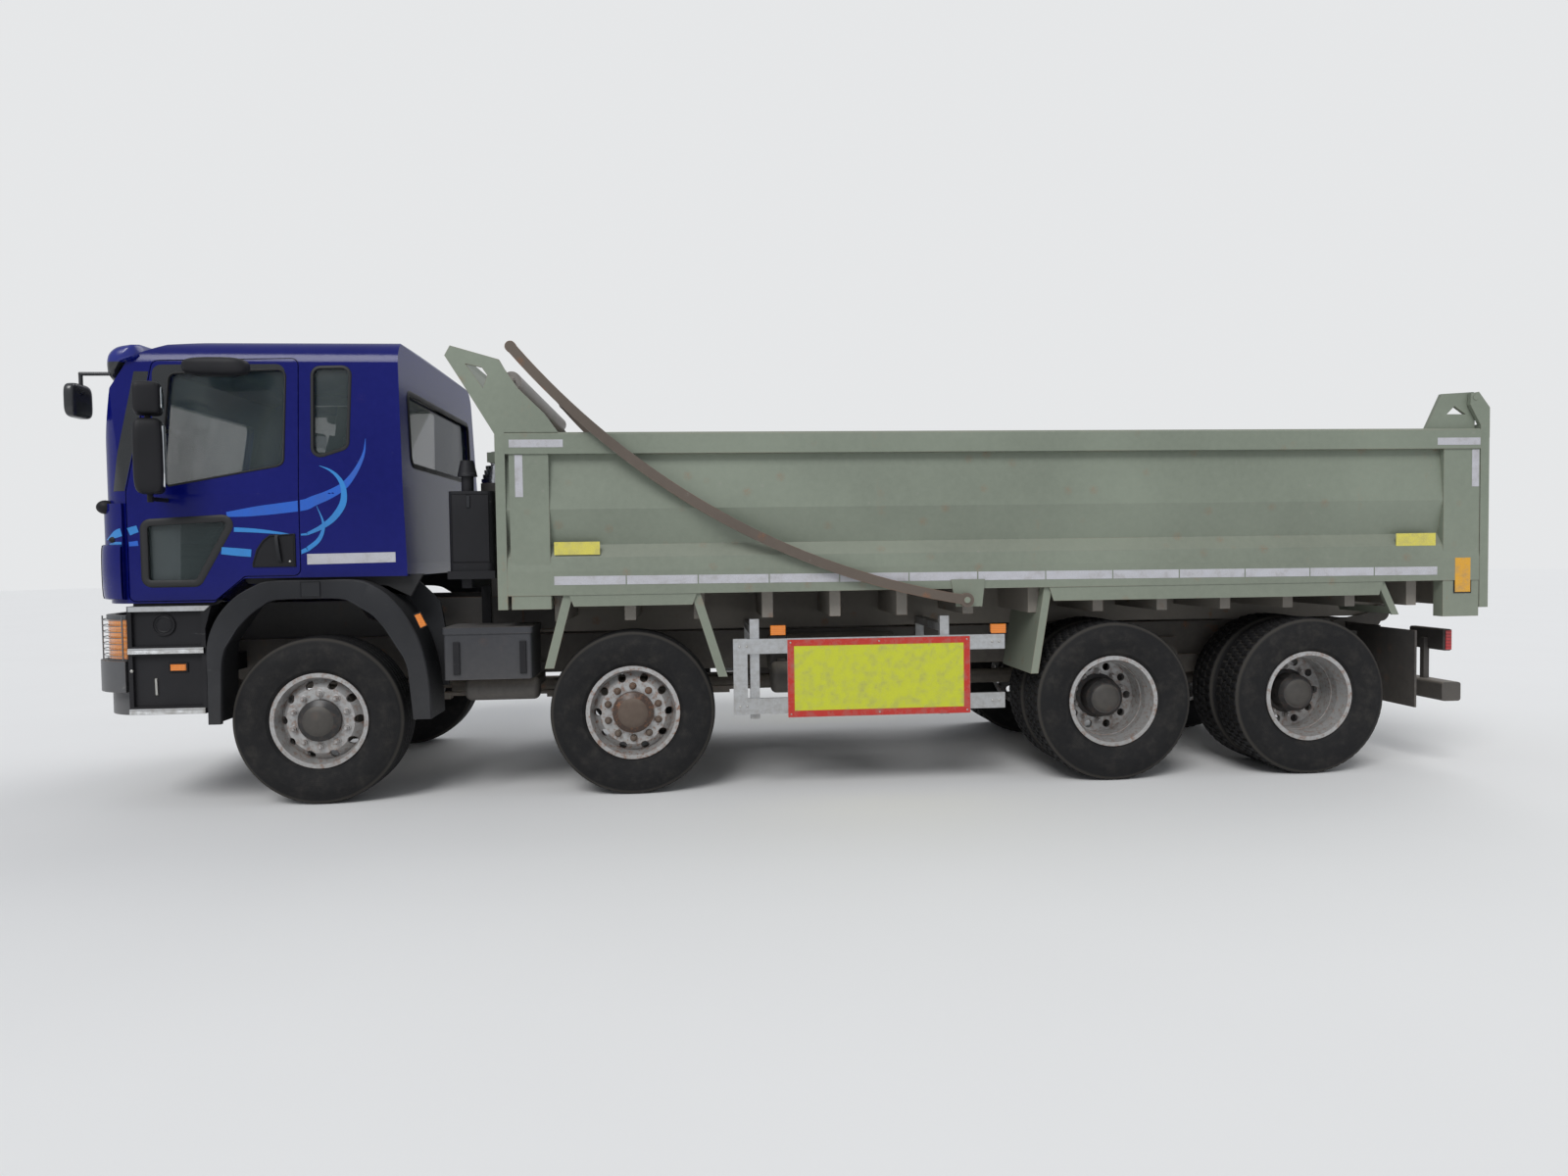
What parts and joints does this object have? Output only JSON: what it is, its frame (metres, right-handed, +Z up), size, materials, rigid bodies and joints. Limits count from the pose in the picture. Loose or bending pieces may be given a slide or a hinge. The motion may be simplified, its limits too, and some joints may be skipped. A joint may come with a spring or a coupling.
{
  "type": "dump truck",
  "caption": "Rigid tipping lorry: blue day cab over twin steered axles, grey-green steel tipping body with a front ram, top-hung tailgate and a sheeting bow.",
  "frame": {"origin": "middle of the tyres' contact plane, below the centre of the overall box", "axes": "-X the way it drives (the cab's end), +X its tailgate, -Y the side seen in the picture, +Z up"},
  "size_m": [9.16, 2.925, 2.95],
  "materials": {
    "chassis_paint": "satin",
    "engine_iron": "rough",
    "cab_paint": "gloss",
    "body_paint": "satin",
    "bumper_paint": "satin",
    "box_paint": "satin",
    "tank_paint": "satin",
    "guard_aluminium": "satin",
    "bow_paint": "rough",
    "ram_chrome": "polished",
    "dark_plastic": "matte",
    "seat_fabric": "matte",
    "lamp_lens": "gloss",
    "glass": "gloss",
    "tyre": "matte",
    "rim_steel": "satin"
  },
  "bodies": {
    "chassis": {"chassis_frame": "chassis_paint", "engine_block": "engine_iron", "front_suspension": "chassis_paint", "rear_suspension": "chassis_paint", "front_bumper": "bumper_paint", "headlamps": "lamp_lens", "step_wells": "dark_plastic", "mudguards": "dark_plastic", "battery_box": "box_paint", "tanks": "tank_paint", "air_intake": "dark_plastic", "side_guards": "guard_aluminium", "rear_underrun": "guard_aluminium"},
    "cab": {"cab_shell": "cab_paint", "cab_front": "cab_paint", "cab_glass": "glass", "cab_fittings": "dark_plastic", "cab_interior": "seat_fabric"},
    "near_door": {"near_door": "cab_paint", "near_door_glass": "glass", "near_door_mirrors": "dark_plastic"},
    "far_door": {"far_door": "cab_paint", "far_door_glass": "glass", "far_door_mirrors": "dark_plastic"},
    "bed": {"bed_floor": "body_paint", "bed_sides": "body_paint", "headboard": "body_paint", "bed_stays": "body_paint"},
    "tailgate": {"tailgate": "body_paint"},
    "sheet_bow": {"sheet_bow": "bow_paint"},
    "ram_cover": {"ram_cover": "chassis_paint"},
    "ram_stage_1": {"ram_stage_1": "ram_chrome"},
    "ram_stage_2": {"ram_stage_2": "ram_chrome"},
    "ram_stage_3": {"ram_stage_3": "ram_chrome"},
    "ram_stage_4": {"ram_stage_4": "ram_chrome"},
    "track_rod_1": {"track_rod_1": "chassis_paint"},
    "track_rod_2": {"track_rod_2": "chassis_paint"},
    "near_knuckle_1": {"near_knuckle_1": "chassis_paint"},
    "near_wheel_1": {"near_tyre_1": "tyre", "near_rim_1": "rim_steel"},
    "near_knuckle_2": {"near_knuckle_2": "chassis_paint"},
    "near_wheel_2": {"near_tyre_2": "tyre", "near_rim_2": "rim_steel"},
    "near_wheels_3": {"near_tyres_3": "tyre", "near_rims_3": "rim_steel"},
    "near_wheels_4": {"near_tyres_4": "tyre", "near_rims_4": "rim_steel"},
    "far_knuckle_1": {"far_knuckle_1": "chassis_paint"},
    "far_wheel_1": {"far_tyre_1": "tyre", "far_rim_1": "rim_steel"},
    "far_knuckle_2": {"far_knuckle_2": "chassis_paint"},
    "far_wheel_2": {"far_tyre_2": "tyre", "far_rim_2": "rim_steel"},
    "far_wheels_3": {"far_tyres_3": "tyre", "far_rims_3": "rim_steel"},
    "far_wheels_4": {"far_tyres_4": "tyre", "far_rims_4": "rim_steel"}
  },
  "joints": [
    {"name": "cab_tilt", "type": "hinge", "parent": "chassis", "child": "cab", "pos_m": [-4.3, 0, 0.87], "axis": [0, -1, 0], "range_deg": [0, 50]},
    {"name": "near_door_hinge", "type": "hinge", "parent": "cab", "child": "near_door", "pos_m": [-4.205, -1.14, 1.6], "axis": [0, 0, -1], "range_deg": [0, 70]},
    {"name": "far_door_hinge", "type": "hinge", "parent": "cab", "child": "far_door", "pos_m": [-4.205, 1.14, 1.6], "axis": [0, 0, 1], "range_deg": [0, 70]},
    {"name": "bed_tip", "type": "hinge", "parent": "chassis", "child": "bed", "pos_m": [4.35, 0, 1.02], "axis": [0, 1, 0], "range_deg": [0, 46]},
    {"name": "tailgate_hinge", "type": "hinge", "parent": "bed", "child": "tailgate", "pos_m": [4.476, 0, 2.508], "axis": [0, -1, 0], "range_deg": [0, 75]},
    {"name": "sheet_bow_hinge", "type": "hinge", "parent": "bed", "child": "sheet_bow", "pos_m": [0.981, 0, 1.214], "axis": [0, 1, 0], "range_deg": [0, 128]},
    {"name": "ram_tilt", "type": "hinge", "parent": "chassis", "child": "ram_cover", "pos_m": [-2.2, 0, 0.75], "axis": [0, 1, 0], "range_deg": [0, 27]},
    {"name": "ram_slide_1", "type": "slide", "parent": "ram_cover", "child": "ram_stage_1", "axis": [0, 0, 1], "range_m": [0, 1.26]},
    {"name": "ram_slide_2", "type": "slide", "parent": "ram_stage_1", "child": "ram_stage_2", "axis": [0, 0, 1], "range_m": [0, 1.26]},
    {"name": "ram_slide_3", "type": "slide", "parent": "ram_stage_2", "child": "ram_stage_3", "axis": [0, 0, 1], "range_m": [0, 1.26]},
    {"name": "ram_slide_4", "type": "slide", "parent": "ram_stage_3", "child": "ram_stage_4", "axis": [0, 0, 1], "range_m": [0, 1.26]},
    {"name": "near_steer_1", "type": "hinge", "parent": "chassis", "child": "near_knuckle_1", "pos_m": [-3.1, -0.88, 0.525], "axis": [0, 0, 1], "range_deg": [-32, 32]},
    {"name": "near_wheel_spin_1", "type": "hinge", "parent": "near_knuckle_1", "child": "near_wheel_1", "pos_m": [-3.1, -1.03, 0.525], "axis": [0, 1, 0], "continuous": true},
    {"name": "far_steer_1", "type": "hinge", "parent": "chassis", "child": "far_knuckle_1", "pos_m": [-3.1, 0.88, 0.525], "axis": [0, 0, 1], "range_deg": [-32, 32]},
    {"name": "far_wheel_spin_1", "type": "hinge", "parent": "far_knuckle_1", "child": "far_wheel_1", "pos_m": [-3.1, 1.03, 0.525], "axis": [0, 1, 0], "continuous": true},
    {"name": "near_steer_2", "type": "hinge", "parent": "chassis", "child": "near_knuckle_2", "pos_m": [-1.16, -0.88, 0.525], "axis": [0, 0, 1], "range_deg": [-22, 22]},
    {"name": "near_wheel_spin_2", "type": "hinge", "parent": "near_knuckle_2", "child": "near_wheel_2", "pos_m": [-1.16, -1.03, 0.525], "axis": [0, 1, 0], "continuous": true},
    {"name": "far_steer_2", "type": "hinge", "parent": "chassis", "child": "far_knuckle_2", "pos_m": [-1.16, 0.88, 0.525], "axis": [0, 0, 1], "range_deg": [-22, 22]},
    {"name": "far_wheel_spin_2", "type": "hinge", "parent": "far_knuckle_2", "child": "far_wheel_2", "pos_m": [-1.16, 1.03, 0.525], "axis": [0, 1, 0], "continuous": true},
    {"name": "near_wheels_spin_3", "type": "hinge", "parent": "chassis", "child": "near_wheels_3", "pos_m": [1.983, -0.91, 0.525], "axis": [0, 1, 0], "continuous": true},
    {"name": "far_wheels_spin_3", "type": "hinge", "parent": "chassis", "child": "far_wheels_3", "pos_m": [1.983, 0.91, 0.525], "axis": [0, 1, 0], "continuous": true},
    {"name": "near_wheels_spin_4", "type": "hinge", "parent": "chassis", "child": "near_wheels_4", "pos_m": [3.333, -0.91, 0.525], "axis": [0, 1, 0], "continuous": true},
    {"name": "far_wheels_spin_4", "type": "hinge", "parent": "chassis", "child": "far_wheels_4", "pos_m": [3.333, 0.91, 0.525], "axis": [0, 1, 0], "continuous": true},
    {"name": "track_rod_pin_1", "type": "hinge", "parent": "near_knuckle_1", "child": "track_rod_1", "pos_m": [-2.87, -0.83, 0.36], "axis": [0, 0, 1], "range_deg": [-33, 33]},
    {"name": "track_rod_pin_2", "type": "hinge", "parent": "near_knuckle_2", "child": "track_rod_2", "pos_m": [-0.93, -0.83, 0.36], "axis": [0, 0, 1], "range_deg": [-23, 23]}
  ],
  "couplings": [
    {"joint": "ram_tilt", "follows": "bed_tip", "ratio": 0.5718},
    {"joint": "ram_slide_1", "follows": "bed_tip", "m_per_rad": 1.5604},
    {"joint": "ram_slide_2", "follows": "bed_tip", "m_per_rad": 1.5604},
    {"joint": "ram_slide_3", "follows": "bed_tip", "m_per_rad": 1.5604},
    {"joint": "ram_slide_4", "follows": "bed_tip", "m_per_rad": 1.5604},
    {"joint": "far_steer_1", "follows": "near_steer_1", "ratio": 1},
    {"joint": "near_steer_2", "follows": "near_steer_1", "ratio": 0.66},
    {"joint": "far_steer_2", "follows": "near_steer_1", "ratio": 0.66},
    {"joint": "track_rod_pin_1", "follows": "near_steer_1", "ratio": -1},
    {"joint": "track_rod_pin_2", "follows": "near_steer_1", "ratio": -0.66}
  ]
}
